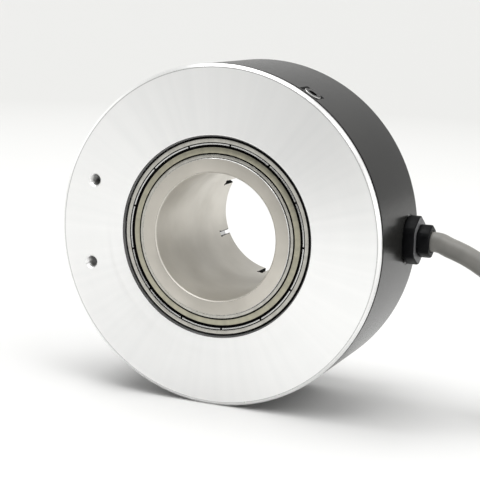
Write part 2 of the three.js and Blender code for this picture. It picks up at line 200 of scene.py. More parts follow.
def lathe(profile, segments=SEGMENTS, closed=True):
    """A bmesh turned about Y. An open profile starts and ends on the axis."""
    body = bmesh.new()
    rings = []
    for radius, depth in profile:
        count = segments if radius else 1
        angles = [2 * math.pi * k / segments for k in range(count)]
        rings.append([body.verts.new((radius * math.cos(a), depth, radius * math.sin(a))) for a in angles])
    for first, second in zip(rings, rings[1:] + (rings[:1] if closed else [])):
        for k in range(segments):
            after = (k + 1) % segments
            near = [first[k % len(first)], first[after % len(first)]]
            far = [second[after % len(second)], second[k % len(second)]]
            body.faces.new(list(dict.fromkeys(near + far)))
    return body


def sleeve(inner, outer, front, back, fillet=0.15, segments=SEGMENTS):
    corners = [(inner, front, fillet), (outer, front, fillet), (outer, back, fillet), (inner, back, fillet)]
    return lathe(rounded(corners, 3), segments)


def rod(radius, front, back, segments):
    return lathe([(0, front), (radius, front), (radius, back), (0, back)], segments, closed=False)


def stepped_rod(low, low_r, step, high_r, high):
    """A rod along Y that changes its radius at the step."""
    profile = [(0, low), (low_r, low), (low_r, step), (high_r, step), (high_r, high), (0, high)]
    return lathe(profile, 64, closed=False)


def prism(outline, low, high):
    """A bmesh of a flat outline in X and Z, drawn out along Y."""
    body = bmesh.new()
    ends = [[body.verts.new((x, y, z)) for x, z in outline] for y in (low, high)]
    for end in ends:
        body.faces.new(end)
    for k in range(len(outline)):
        after = (k + 1) % len(outline)
        body.faces.new([ends[0][k], ends[0][after], ends[1][after], ends[1][k]])
    return body


def box_of(size, centre):
    body = bmesh.new()
    bmesh.ops.create_cube(body, size=1)
    bmesh.ops.scale(body, vec=size, verts=body.verts)
    bmesh.ops.translate(body, vec=centre, verts=body.verts)
    return body


def hexagon(across_flats):
    corner = across_flats / 2 / math.cos(math.pi / 6)
    angles = [2 * math.pi * (k + 0.5) / 6 for k in range(6)]
    return [(corner * math.cos(a), corner * math.sin(a)) for a in angles]


def shade(mesh):
    mesh.shade_smooth()
    mesh.set_sharp_from_angle(angle=math.radians(SMOOTH_ANGLE))


def build(name, body, place):
    """A named object made from a bmesh in millimetres, put in its place."""
    body.transform(place)
    bmesh.ops.recalc_face_normals(body, faces=body.faces)
    mesh = bpy.data.meshes.new(name)
    body.to_mesh(mesh)
    body.free()
    shade(mesh)
    piece = bpy.data.objects.new(name, mesh)
    bpy.context.scene.collection.objects.link(piece)
    return piece


def settle(piece):
    """Applies the piece's modifiers to its mesh."""
    bpy.context.view_layer.update()
    evaluated = piece.evaluated_get(bpy.context.evaluated_depsgraph_get())
    mesh = bpy.data.meshes.new_from_object(evaluated)
    piece.modifiers.clear()
    piece.data = mesh
    shade(mesh)
    return piece


def together(parts):
    """One bmesh from several (bmesh, place) that don't touch each other."""
    joined = bmesh.new()
    for body, place in parts:
        body.transform(place)
        mesh = bpy.data.meshes.new("part")
        body.to_mesh(mesh)
        body.free()
        joined.from_mesh(mesh)
        bpy.data.meshes.remove(mesh)
    return joined


def cut(piece, cutters, operation="DIFFERENCE"):
    """Takes each (bmesh, place) away from the piece, or joins it on."""
    tools = [build(f"cutter_{k}", body, place) for k, (body, place) in enumerate(cutters)]
    for tool in tools:
        modifier = piece.modifiers.new("cut", "BOOLEAN")
        modifier.operation = operation
        modifier.solver = "EXACT"
        modifier.object = tool
    settle(piece)
    for tool in tools:
        bpy.data.objects.remove(tool)
    return piece


def soften(piece, width, segments, degrees):
    """Rounds the edges that turn by more than that many degrees."""
    modifier = piece.modifiers.new("soft_edges", "BEVEL")
    modifier.width = width * MM
    modifier.segments = segments
    modifier.limit_method = "ANGLE"
    modifier.angle_limit = math.radians(degrees)


# Materials -------------------------------------------------------------------------------------

class Finish:
    """A procedural material, built up from a plain shader by adding effects to it."""

    def __init__(self, name, colour, metallic, roughness):
        self.material = bpy.data.materials.new(name)
        self.material.use_nodes = True
        self.tree = self.material.node_tree
        self.shader = self.tree.nodes["Principled BSDF"]
        self.set("Base Color", (*colour, 1))
        self.set("Metallic", metallic)
        self.set("Roughness", roughness)

    def set(self, socket, value):
        self.shader.inputs[socket].default_value = value
        return self

    def node(self, kind, **values):
        made = self.tree.nodes.new(kind)
        for key, value in values.items():
            if hasattr(made, key):
                setattr(made, key, value)
            else:
                made.inputs[key.replace("_", " ")].default_value = value
        return made

    def link(self, source, target):
        self.tree.links.new(source, target)

    def position(self):
        return self.node("ShaderNodeTexCoord").outputs["Object"]

    def vector(self, operation, first, second=None):
        made = self.node("ShaderNodeVectorMath", operation=operation)
        self.link(first, made.inputs[0])
        if hasattr(second, "links"):
            self.link(second, made.inputs[1])
        elif isinstance(second, (int, float)):
            made.inputs["Scale"].default_value = second
        elif second:
            made.inputs[1].default_value = second
        return made.outputs["Value" if operation == "LENGTH" else "Vector"]

    def number(self, operation, first, second):
        made = self.node("ShaderNodeMath", operation=operation)
        for socket, value in zip(made.inputs, (first, second)):
            if hasattr(value, "links"):
                self.link(value, socket)
            else:
                socket.default_value = value
        return made.outputs[0]

    def polar(self, along_radius, along_angle):
        """Coordinates that follow the lathe: one number grows with radius and depth, two go round."""
        flat = self.vector("MULTIPLY", self.position(), (1, 0, 1))
        around = self.vector("SCALE", self.vector("NORMALIZE", flat), along_angle)
        parts = self.node("ShaderNodeSeparateXYZ")
        self.link(self.position(), parts.inputs[0])
        ring = self.number("ADD", self.vector("LENGTH", flat), parts.outputs["Y"])
        joined = self.node("ShaderNodeCombineXYZ")
        self.link(self.number("MULTIPLY", ring, along_radius), joined.inputs["Y"])
        return self.vector("ADD", around, joined.outputs[0])

    def noise(self, where, scale, detail):
        made = self.node("ShaderNodeTexNoise", Scale=scale, Detail=detail)
        self.link(where, made.inputs["Vector"])
        return made.outputs["Fac"]

    def ranged(self, value, low, high, from_low=0.3, from_high=0.7):
        limits = {"From_Min": from_low, "From_Max": from_high, "To_Min": low, "To_Max": high}
        made = self.node("ShaderNodeMapRange", **limits)
        self.link(value, made.inputs["Value"])
        return made.outputs["Result"]

    def tint(self, value, other, low=0.35, high=0.65):
        """Mixes the base colour towards another one where value is high."""
        mix = self.node("ShaderNodeMix", data_type="RGBA")
        self.link(self.ranged(value, 0, 1, low, high), mix.inputs["Factor"])
        last = self.shader.inputs["Base Color"]
        if last.is_linked:
            self.link(last.links[0].from_socket, mix.inputs[6])
        else:
            mix.inputs[6].default_value = last.default_value
        mix.inputs[7].default_value = (*other, 1)
        self.link(mix.outputs[2], last)
        return self

    def rough(self, value, low, high):
        self.link(self.ranged(value, low, high), self.shader.inputs["Roughness"])
        return self

    def bump(self, value, distance, strength):
        made = self.node("ShaderNodeBump", Strength=strength, Distance=distance)
        self.link(value, made.inputs["Height"])
        last = self.shader.inputs["Normal"]
        if last.is_linked:
            self.link(last.links[0].from_socket, made.inputs["Normal"])
        self.link(made.outputs["Normal"], last)
        return self

    def turned(self, anisotropy):
        """Reflections drawn out across the lathe marks."""
        tangent = self.node("ShaderNodeTangent", direction_type="RADIAL", axis="Y")
        self.link(tangent.outputs[0], self.shader.inputs["Tangent"])
        return self.set("Anisotropic", anisotropy).set("Anisotropic Rotation", 0.25)


def turned_aluminium():
    look = Finish("bright_aluminium", (0.95, 0.95, 0.945), 1.0, 0.33)
    look.turned(0.75)
    look.tint(look.noise(look.polar(0, 3.5), 4, 4), (0.922, 0.924, 0.92))
    look.rough(look.noise(look.polar(900, 0.4), 1, 3), 0.3, 0.36)
    look.bump(look.noise(look.polar(2600, 0.4), 1, 2), 0.00002, 0.25)
    return look


def anodised_black():
    look = Finish("black_housing", (0.016, 0.016, 0.0152), 0.0, 0.4)
    look.set("Specular IOR Level", 0.2)
    look.tint(look.noise(look.position(), 45, 4), (0.021, 0.0205, 0.0195))
    look.rough(look.noise(look.position(), 1500, 3), 0.2, 0.27)
    look.bump(look.noise(look.position(), 3200, 2), 0.00003, 0.25)
    return look


def ground_steel():
    look = Finish("bearing_steel", (0.50, 0.49, 0.45), 1.0, 0.24)
    look.turned(0.5)
    look.tint(look.noise(look.polar(0, 6), 2, 3), (0.41, 0.40, 0.365))
    look.rough(look.noise(look.polar(900, 1), 1, 3), 0.18, 0.3)
    look.bump(look.noise(look.polar(5000, 0.8), 1, 2), 0.00001, 0.3)
    return look


def rolled_shield():
    look = Finish("bearing_shield", (0.44, 0.42, 0.325), 1.0, 0.36)
    look.tint(look.noise(look.polar(0, 8), 2, 4), (0.37, 0.355, 0.28))
    look.rough(look.noise(look.position(), 400, 4), 0.3, 0.42)
    look.bump(look.noise(look.position(), 2500, 3), 0.00001, 0.3)
    return look


def shaft_steel():
    look = Finish("shaft_steel", (0.625, 0.594, 0.537), 1.0, 0.4)
    look.turned(0.5)
    look.tint(look.noise(look.position(), 55, 4), (0.52, 0.495, 0.445))
    look.rough(look.noise(look.position(), 90, 4), 0.36, 0.47)
    look.bump(look.noise(look.polar(3600, 0.6), 1, 2), 0.00001, 0.3)
    return look


def honed_bore():
    look = Finish("honed_bore", (0.72, 0.695, 0.64), 1.0, 0.4)
    look.tint(look.noise(look.position(), 70, 4), (0.64, 0.615, 0.565))
    look.rough(look.noise(look.position(), 90, 4), 0.45, 0.55)
    look.bump(look.noise(look.position(), 2600, 2), 0.00001, 0.3)
    return look


def oxide_black():
    look = Finish("dark_steel", (0.05, 0.05, 0.052), 0.8, 0.36)
    look.tint(look.noise(look.position(), 600, 3), (0.08, 0.078, 0.075))
    look.rough(look.noise(look.position(), 900, 3), 0.3, 0.45)
    look.bump(look.noise(look.position(), 3000, 2), 0.00001, 0.3)
    return look


def turned_brass():
    look = Finish("brass", (0.62, 0.44, 0.17), 1.0, 0.3)
    look.tint(look.noise(look.position(), 500, 3), (0.52, 0.36, 0.14))
    look.rough(look.noise(look.position(), 800, 3), 0.24, 0.38)
    return look


def moulded(name, colour, other, roughness, grain, specular=0.5):
    """A moulded plastic or rubber with a fine grain and a slightly uneven tone. The same recipe also makes
    the flat paints of painted shade and painted light.
    """
    look = Finish(name, colour, 0.0, roughness)
    look.set("Specular IOR Level", specular)
    look.tint(look.noise(look.position(), grain / 8, 3), other)
    look.rough(look.noise(look.position(), grain / 4, 3), roughness - 0.06, roughness + 0.08)
    look.bump(look.noise(look.position(), grain, 2), 0.00002, 0.4)
    return look


def painted_edge_metal(name, colour, grain, low, high):
    """Bright metal for narrow lines of painted highlight and painted shade on edges, with a roughness
    between low and high.
    """
    look = Finish(name, colour, 1.0, low)
    look.rough(look.noise(look.position(), grain, 3), low, high)
    return look


def clear_glass():
    look = Finish("clear_glass", (0.86, 0.93, 0.92), 0.0, 0.05)
    look.set("Transmission Weight", 1.0).set("IOR", 1.5)
    look.rough(look.noise(look.position(), 120, 3), 0.02, 0.1)
    return look


FINISHES = {
    "bright_aluminium": turned_aluminium(),
    "black_housing": anodised_black(),
    "bearing_steel": ground_steel(),
    "bearing_shield": rolled_shield(),
    "shaft_steel": shaft_steel(),
    "honed_bore": honed_bore(),
    "dark_steel": oxide_black(),
    "brass": turned_brass(),
    "seal_rubber": moulded("seal_rubber", (0.02, 0.02, 0.02), (0.03, 0.03, 0.029), 0.6, 2400),
    "gland_nylon": moulded(
        "gland_nylon", (0.003, 0.0032, 0.0037), (0.006, 0.0063, 0.0072), 0.42, 2600, specular=0.08,
    ),
    "cable_sheath": moulded("cable_sheath", (0.26, 0.253, 0.235), (0.225, 0.22, 0.205), 0.4, 1800),
    "clear_glass": clear_glass(),
    "board_laminate": moulded("board_laminate", (0.015, 0.11, 0.045), (0.02, 0.14, 0.06), 0.35, 900),
    "chip_plastic": moulded("chip_plastic", (0.02, 0.02, 0.021), (0.03, 0.03, 0.03), 0.5, 3000),
    "connector_nylon": moulded("connector_nylon", (0.72, 0.67, 0.53), (0.66, 0.61, 0.48), 0.45, 2000),
    # Painted shade: a near-black flat paint for recess walls, narrow gaps and small chamfers, where shade
    # falls.
    "painted_recess_shade": moulded(
        "painted_recess_shade", (0.004, 0.004, 0.004), (0.007, 0.007, 0.007), 0.7, 1200, specular=0.1,
    ),
    # Painted highlight: a brighter metal on rims, chamfers and rolled edges, where they catch the light.
    "painted_edge_highlight": painted_edge_metal("painted_edge_highlight", (0.62, 0.62, 0.61), 1500, 0.2, 0.35),
    # Painted shade: a darker metal line where the flange's face turns into its rim chamfer.
    "painted_rim_shade": painted_edge_metal("painted_rim_shade", (0.62, 0.62, 0.615), 900, 0.26, 0.36),
    # Painted light: a lighter grey for the black gland nut's end face, as if it caught the light.
    "painted_gland_face_light": moulded("painted_gland_face_light", (0.10, 0.10, 0.105), (0.14, 0.14, 0.145), 0.5, 3600),
    # Painted shade: a flat grey standing in for the flange's aluminium lip wall and ledge in shade.
    "shaded_edge": moulded("shaded_edge", (0.10, 0.10, 0.10), (0.15, 0.15, 0.148), 0.5, 1400),
    "lead_insulation": moulded("lead_insulation", (0.42, 0.16, 0.05), (0.36, 0.14, 0.05), 0.45, 1500),
}


def stand_for(piece, node, *more):
    """The piece takes a CAD node's place: its body, its material slot and its finish."""
    piece.data.materials.clear()
    piece.data.materials.append(FINISHES[SLOT_OF[node]].material)
    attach(piece, BODY_OF[node])
    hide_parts(node, *more)
    return piece


def paint(piece, finish, place, chosen):
    """Gives another finish, mostly painted shade and painted highlights, to the faces whose radius and
    depth in that place, in mm, are chosen.
    """
    index = len(piece.data.materials)
    piece.data.materials.append(FINISHES[finish].material)
    inwards = place.inverted()
    for face in piece.data.polygons:
        x, depth, z = inwards @ face.center
        if chosen(math.hypot(x, z), depth):
            face.material_index = index


# Cable -----------------------------------------------------------------------------------------

ROUTE = [
    (0.0569, 0.0290, 0.0006),
    (0.0595, 0.0290, 0.0004),
    (0.0621, 0.0290, -0.0006),
    (0.0669, 0.0287, -0.0022),
    (0.0714, 0.0281, -0.0042),
    (0.0757, 0.0271, -0.0066),
    (0.0793, 0.0258, -0.0097),
    (0.0822, 0.0244, -0.0135),
    (0.0844, 0.0231, -0.0178),
    (0.0864, 0.0217, -0.0222),
    (0.0888, 0.0198, -0.0261),
    (0.0917, 0.0176, -0.0294),
    (0.0952, 0.0152, -0.0320),
    (0.0992, 0.0128, -0.0339),
    (0.1036, 0.0106, -0.0348),
]


def through(points, steps):
    """Points along a smooth curve that passes through the given ones."""
    ends = [2 * points[0] - points[1], *points, 2 * points[-1] - points[-2]]
    line = []
    for before, start, end, after in zip(ends, ends[1:], ends[2:], ends[3:]):
        for step in range(steps):
            t = step / steps
            line.append(0.5 * (
                2 * start
                + (end - before) * t
                + (2 * before - 5 * start + 4 * end - after) * t ** 2
                + (3 * start - before - 3 * end + after) * t ** 3
            ))
    return [*line, points[-1]]


def coil_point(turned, coil_centre, outer_r):
    """A point of the coil after that much turning: down the outer turns, then up the inner ones."""
    full = 2 * math.pi
    down = 2 * full
    across = math.radians(120)
    pitch = 2 * CABLE_R
    bottom = FLOOR + CABLE_R
    if turned < down:
        radius, height = outer_r, bottom + pitch * (down - turned) / full
    elif turned < down + across:
        share = (1 - math.cos(math.pi * (turned - down) / across)) / 2
        radius, height = outer_r - pitch * share, bottom
    else:
        radius, height = outer_r - pitch, bottom + pitch * (turned - down - across) / full
    angle = math.radians(COIL_START) + turned
    return Vector((
        coil_centre.x + radius * math.cos(angle),
        coil_centre.y + radius * math.sin(angle),
        height,
    ))


def cable_line():
    """The cable's centreline, from the gland to its cut end."""
    low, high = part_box("cable_coil")
    centre = (low + high) / 2
    outer_r = (high.x - low.x) / 2 - CABLE_R
    landing = coil_point(0, centre, outer_r)
    offset = Vector((0, FRONT, 0))
    line = through([Vector(point) + offset for point in ROUTE] + [landing], steps=5)
    used = sum((b - a).length for a, b in zip(line, line[1:]))
    turned = 0.0
    step = math.radians(5)
    while used < CABLE_LENGTH:
        turned += step
        point = coil_point(turned, centre, outer_r)
        used += (point - line[-1]).length
        line.append(point)
    return line


def tube(name, line, radius, material):
    curve = bpy.data.curves.new(name, "CURVE")
    curve.dimensions = "3D"
    curve.bevel_depth = radius
    curve.bevel_resolution = 8
    curve.use_fill_caps = True
    spline = curve.splines.new("POLY")
    spline.points.add(len(line) - 1)
    for spot, point in zip(spline.points, line):
        spot.co = (*point, 1)
    spline.use_smooth = True
    curve.materials.append(material)
    piece = bpy.data.objects.new(name, curve)
    bpy.context.scene.collection.objects.link(piece)
    return piece


def make_wire_ends(line):
    """The insulated cores that come out of the cut sheath, each with a bared and tinned tip."""
    colours = {
        "brown": (0.16, 0.06, 0.03),
        "white": (0.75, 0.74, 0.70),
        "green": (0.03, 0.25, 0.07),
        "yellow": (0.75, 0.55, 0.05),
        "black": (0.015, 0.015, 0.015),
    }
    tinned = Finish("tinned_copper", (0.72, 0.70, 0.66), 1.0, 0.32)
    tinned.bump(tinned.noise(tinned.position(), 3000, 2), 0.00002, 0.5)
    end, heading = line[-1], (line[-1] - line[-2]).normalized()
    inwards = Vector((-heading.y, heading.x, 0)).normalized()
    upwards = Vector((0, 0, 1))
    pieces = []
    core_r = 0.00055
    bared_r = core_r * 0.65
    inside_sheath = 0.004
    curl_r = 0.028
    steps = 12
    bared_from = 10
    for index, (name, colour) in enumerate(colours.items()):
        around = 2 * math.pi * index / len(colours)
        spread = inwards * math.cos(around) + upwards * math.sin(around)
        reach = 0.024 - 0.0012 * index
        points = []
        for step in range(steps + 1):
            along = reach * step / steps
            open_up = 0.0011 + 0.0012 * (step / steps) ** 2
            droop = -0.9 * along ** 1.5
            curl = along ** 2 / (2 * curl_r)
            middle = end + heading * (along - inside_sheath) + inwards * curl
            points.append(middle + spread * open_up + upwards * droop)
        sheath = Finish(f"core_{name}", colour, 0.0, 0.4)
        sheath.tint(sheath.noise(sheath.position(), 900, 2), tuple(part * 0.85 for part in colour))
        pieces.append(tube(f"core_{name}", points[:bared_from + 1], core_r, sheath.material))
        pieces.append(tube(f"core_{name}_tip", points[bared_from:], bared_r, tinned.material))
    for piece in pieces:
        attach(piece, BODY_OF["cable_wire_ends"])
    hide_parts("cable_wire_ends")
    return pieces


def make_cable():
    line = cable_line()
    cable = tube("cable", line, CABLE_R, FINISHES["cable_sheath"].material)
    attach(cable, BODY_OF["cable_run"])
    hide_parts("cable_run", "cable_coil")
    wires = make_wire_ends(line)
    return cable, line[0], wires


# Casing ----------------------------------------------------------------------------------------

def make_front_flange():
    spigot_r = 46.7
    groove_r = spigot_r - 1.3
    spigot_wall_r = 44.4
    web_rear = 9
    hub_r = 33
    hub_rear = 23
    seat_rear = 21.5
    stop_r = 27
    lip_r = SEAT_R + 0.45
    edge = 0.1
    corners = [
        (lip_r, 0, 0.06),
        (lip_r + 0.3, 0, 0),
        (BODY_R - EDGE - 0.3, 0, 0),
        (BODY_R - EDGE, 0, edge),
        (BODY_R, EDGE, edge),
        (BODY_R, RIM_DEPTH, edge),
        (spigot_r, RIM_DEPTH, edge),
        (spigot_r, 9.6, 0.1),
        (groove_r, 9.6, 0.1),
        (groove_r, 11.6, 0.1),
        (spigot_r, 11.6, 0.1),
        (spigot_r, 12.8, 0.2),
        (spigot_wall_r, 12.8, 0.1),
        (spigot_wall_r, web_rear, 0.3),
        (hub_r, web_rear, 0.5),
        (hub_r, hub_rear, 0.3),
        (stop_r, hub_rear, 0.1),
        (stop_r, seat_rear, 0.1),
        (SEAT_R, seat_rear, 0.1),
        (SEAT_R, 0.75, 0.05),
        (lip_r, 0.55, 0.05),
    ]
    flange = build("front_flange_turned", lathe(rounded(corners, 3)), coaxial())
    mouth_r, core_r, thread_height, pitch, deep = 2.05, 1.65, 0.33, 0.7, 8.0
    depth = 0.42
    thread = [(0, -1), (mouth_r, -1), (mouth_r, 0.02), (core_r, depth)]
    while depth + pitch < deep:
        thread.append((core_r + thread_height, depth + pitch / 2))
        thread.append((core_r, depth + pitch))
        depth += pitch
    thread += [(core_r, deep), (0, deep + 0.9)]
    tools = []
    for degrees in FIXING_ANGLES:
        tools.append((lathe(thread, 40, closed=False), beside_axis(FIXING_CIRCLE_R, degrees)))
    for degrees in SCREW_ANGLES:
        tools.append((rod(SCREW_HOLE_R, 40.8, BODY_R, 24), outward(degrees, SCREW_DEPTH)))
    stand_for(cut(flange, [(together(tools), Matrix())]), "front_flange")
    # Painted shade: grey on the lip wall and ledge round the bearing seat, a darker line where the face
    # meets the rim chamfer, and near-black on the seat wall and behind the rim.
    paint(flange, "shaded_edge", coaxial(), lambda radius, depth: (
        SEAT_R + 0.05 < radius < lip_r + 0.02 and 0.04 < depth < 1
    ))
    paint(flange, "painted_rim_shade", coaxial(), lambda radius, depth: (
        BODY_R - EDGE - 0.3 < radius < BODY_R - EDGE and depth < 0.02
    ))
    paint(flange, "painted_recess_shade", coaxial(), lambda radius, depth: (
        (radius < SEAT_R + 0.05 and 0.04 < depth < 3)
        or (radius > spigot_r - 0.5 and depth > RIM_DEPTH - 0.05)
    ))


def make_housing():
    front = RIM_DEPTH + JOINT_GAP
    wall = 3
    hole_r = 27.3
    chamfer = 0.4
    corners = [
        (BODY_R - wall, front, 0.1),
        (BODY_R - chamfer, front, 0.1),
        (BODY_R, front + chamfer, 0.1),
        *((BODY_R, depth, 0) for depth in (3.4, 10, GLAND_DEPTH - 8.5, GLAND_DEPTH + 8.5)),
        (BODY_R, HOUSING_REAR - chamfer, 0.1),
        (BODY_R - chamfer, HOUSING_REAR, 0.1),
        (hole_r, HOUSING_REAR, 0.3),
        (hole_r, HOUSING_REAR - wall, 0.1),
        (BODY_R - wall, HOUSING_REAR - wall, 0.5),
    ]
    housing = build("housing_shell", lathe(rounded(corners, 3)), coaxial())
    recess_r = 2.8
    gland_hole_r, gland_face_r, gland_face = 5.2, 7.6, 49.3
    low, high = BODY_R - 5, BODY_R + 2
    gland_hole = stepped_rod(low, gland_hole_r, gland_face, gland_face_r, high)
    tools = [(gland_hole, outward(GLAND_ANGLE, GLAND_DEPTH))]
    for degrees in SCREW_ANGLES:
        screw_hole = stepped_rod(low, SCREW_HOLE_R, SCREW_SEAT_R, recess_r, high)
        tools.append((screw_hole, outward(degrees, SCREW_DEPTH)))
    stand_for(cut(housing, [(together(tools), Matrix())]), "housing")
    # Painted shade: near-black on the housing's front end and inner wall at the joint, and on the walls of
    # the screw recesses.
    paint(housing, "painted_recess_shade", coaxial(), lambda radius, depth: (
        radius < BODY_R - 0.05 and depth < front + chamfer
    ))
    for degrees in SCREW_ANGLES:
        paint(housing, "painted_recess_shade", outward(degrees, SCREW_DEPTH), lambda radius, height: (
            radius < recess_r + 0.05 and SCREW_SEAT_R - 1 < height < BODY_R + 1
        ))


def socket_screw(name, place, shank_r, head_r, levels, socket_flats, socket_depth):
    """A screw along Y, whose head has a rounded rim and a hexagonal socket. The levels along Y
    are those of the shank's tip, the head's underside and the head's top."""
    tip, under_head, top = levels
    profile = rounded([
        (0, tip, 0),
        (shank_r, tip, 0.3),
        (shank_r, under_head, 0.05),
        (head_r, under_head, 0.15),
        (head_r, top, 0.25),
        (0, top, 0),
    ], 4)
    screw = build(name, lathe(profile, 64, closed=False), place)
    socket = prism(hexagon(socket_flats), top - socket_depth, top + 1)
    return cut(screw, [(socket, place)])


def make_housing_screws():
    for index, degrees in enumerate(SCREW_ANGLES, 1):
        place = outward(degrees, SCREW_DEPTH)
        top = BODY_R + SCREW_PROUD
        screw = socket_screw(
            f"side_screw_{index}", place, shank_r=1.3, head_r=2.6, levels=(41.3, 48.3, top),
            socket_flats=2.5, socket_depth=1.2,
        )
        stand_for(screw, f"housing_screw_{index}")
        # Painted shade on the head's sides and in its socket, and a painted highlight on the head's rim.
        paint(screw, "painted_recess_shade", place, lambda radius, height: (
            (radius > 2.5 and height < top - 0.1) or (radius < 1.5 and height < top - 0.05)
        ))
        paint(screw, "painted_edge_highlight", place, lambda radius, height: radius > 2.35 and height >= top - 0.12)


def make_casing_seals():
    angles = [2 * math.pi * k / 20 for k in range(20)]
    o_ring = lathe([(46.2 + 0.6 * math.cos(a), 10.6 + 0.7 * math.sin(a)) for a in angles])
    stand_for(build("o_ring", o_ring, coaxial()), "housing_o_ring")
    front, back = depths_of("rear_dust_seal")
    corners = [
        (SHAFT_R + 0.35, front + 0.9, 0.1),
        (SHAFT_R + 1.4, front, 0.3),
        (27.0, front, 0.2),
        (27.0, back, 0.3),
        (25.2, back, 0.3),
        (24.6, back - 0.7, 0.2),
        (23.8, back - 0.7, 0.2),
        (SHAFT_R + 0.35, back - 0.1, 0.1),
    ]
    stand_for(build("dust_seal", lathe(rounded(corners, 3)), coaxial()), "rear_dust_seal")


# Bearings --------------------------------------------------------------------------------------

def bearing_outer_ring():
    return lathe(rounded([
        (27.55, 0, 0.05),
        (28.6, 0, 0.04),
        (28.9, 0.3, 0.05),
        (28.9, 6.7, 0.05),
        (28.6, BEARING_WIDTH, 0.04),
        (27.55, BEARING_WIDTH, 0.05),
        (27.55, 6.2, 0.05),
        (27.1, 6.0, 0.1),
        (27.1, 4.9, 0),
        (27.35, 4.2, 0),
        (27.5, 3.5, 0),
        (27.35, 2.8, 0),
        (27.1, 2.1, 0),
        (27.1, 1.0, 0.1),
        (27.55, 0.8, 0.05),
    ], 3))


def bearing_inner_ring():
    return lathe(rounded([
        (SHAFT_R, 0.6, 0.05),
        (23.1, 0, 0.05),
        (24.0, 0, 0.08),
        (24.0, 2.1, 0),
        (23.8, 2.8, 0),
        (23.7, 3.5, 0),
        (23.8, 4.2, 0),
        (24.0, 4.9, 0),
        (24.0, BEARING_WIDTH, 0.08),
        (23.1, BEARING_WIDTH, 0.05),
        (SHAFT_R, 6.4, 0.05),
    ], 3))


def bearing_shield():
    """A pressed sheet ring: a flat web, a deep bead and a rolled edge, which faces depth 0."""
    return rounded([
        (24.42, 1.2, 0.05),
        (24.42, 0.1, 0.1),
        (26.1, 0.3, 0.1),
        (26.2, 1.3, 0.1),
        (26.8, 1.3, 0.1),
        (26.86, 0.05, 0.08),
        (27.06, -0.1, 0.08),
        (27.3, 0.05, 0.08),
        (27.3, 0.6, 0.05),
        (27.15, 0.6, 0.05),
        (27.1, 0.25, 0.05),
        (26.98, 0.3, 0.05),
        (26.92, 1.55, 0.1),
        (26.05, 1.55, 0.1),
        (25.95, 0.6, 0.1),
        (24.62, 0.42, 0.1),
        (24.57, 1.2, 0.05),
    ], 3)


def make_shield(name, node, place):
    shield = build(name, lathe(bearing_shield()), place)
    notches = []
    for index in range(NOTCH_COUNT):
        angle = math.radians(360 * index / NOTCH_COUNT - 0.5)
        notch = box_of(size=(1.24, 1.3, 0.62), centre=(27.42, 0.1, 0))
        notches.append((notch, place @ Matrix.Rotation(-angle, 4, "Y")))
    stand_for(cut(shield, [(together(notches), Matrix())]), node)
    # A painted highlight on the rolled edge, and painted shade in the bead, behind the web and on the inner
    # lip.
    paint(shield, "painted_edge_highlight", place, lambda radius, depth: radius > 26.84 and depth <= 0.1)
    paint(shield, "painted_recess_shade", place, lambda radius, depth: (
        (radius > 25.9 and depth > 0.3) or (radius > 26.1 and depth > 0.1) or radius < 24.45
    ))


def ball_set():
    """The balls, and the two waved ribbons that hold them on the pitch circle."""
    pitch_r, ball_r, middle = 25.6, 1.6, BEARING_WIDTH / 2
    ribbon_inner_r, ribbon_outer_r, ribbon, clearance = 24.9, 26.3, 0.22, 0.06
    section = (
        (ribbon_inner_r, 0),
        (ribbon_outer_r, 0),
        (ribbon_outer_r, ribbon),
        (ribbon_inner_r, ribbon),
    )
    body = bmesh.new()
    for index in range(BALL_COUNT):
        angle = 2 * math.pi * index / BALL_COUNT
        spot = Matrix.Translation((pitch_r * math.cos(angle), middle, pitch_r * math.sin(angle)))
        bmesh.ops.create_uvsphere(body, u_segments=24, v_segments=16, radius=ball_r, matrix=spot)
    steps_per_ball = 16
    steps = BALL_COUNT * steps_per_ball
    half = steps_per_ball // 2
    for side in (-1, 1):
        rows = []
        for step in range(steps):
            angle = 2 * math.pi * step / steps
            nearest = (step + half) % steps_per_ball - half
            chord = pitch_r * math.radians(abs(nearest) * 360 / steps)
            swell = math.sqrt(max(0.0, (ball_r + clearance) ** 2 - chord ** 2))
            lift = max(clearance, swell)
            row = []
            for radius, thick in section:
                depth = middle + side * (lift + thick)
                row.append(body.verts.new((radius * math.cos(angle), depth, radius * math.sin(angle))))
            rows.append(row)
        for row, after in zip(rows, rows[1:] + rows[:1]):
            for k in range(4):
                body.faces.new([row[k], row[(k + 1) % 4], after[(k + 1) % 4], after[k]])
    return body


def make_bearing(name):
    front = depths_of(f"{name}_outer_ring")[0]
    place = coaxial(front)
    flipped = coaxial(front + BEARING_WIDTH) @ Matrix.Rotation(math.pi, 4, "Z")
    outer = stand_for(build(f"{name}_outer_race", bearing_outer_ring(), place), f"{name}_outer_ring")
    # Painted shade on the outer ring's outer chamfer and on its inner steps beside the shields.
    paint(outer, "painted_recess_shade", place, lambda radius, depth: (
        radius > 28.59 or (radius < 27.56 and 0.03 < min(depth, BEARING_WIDTH - depth) < 1.1)
    ))
    inner = stand_for(build(f"{name}_inner_race", bearing_inner_ring(), place), f"{name}_inner_ring")
    # Painted shade on the inner ring where it shows through the gap under the shield.
    paint(inner, "painted_recess_shade", place, lambda radius, depth: (
        radius > 23.96 and 0.05 < min(depth, BEARING_WIDTH - depth) < 2
    ))
    stand_for(build(f"{name}_balls", ball_set(), place), f"{name}_ball_cage")
    make_shield(f"{name}_front_cover", f"{name}_front_shield", place)
    make_shield(f"{name}_back_cover", f"{name}_back_shield", flipped)


def make_spacers():
    radii = {"outer_ring_spacer": (27.4, 28.9), "inner_ring_spacer": (SHAFT_R + 0.05, 24.2)}
    for node, (inner, outer) in radii.items():
        front, back = depths_of(node)
        stand_for(build(f"{node}_turned", sleeve(inner, outer, front, back), coaxial()), node)


# Rotor -----------------------------------------------------------------------------------------

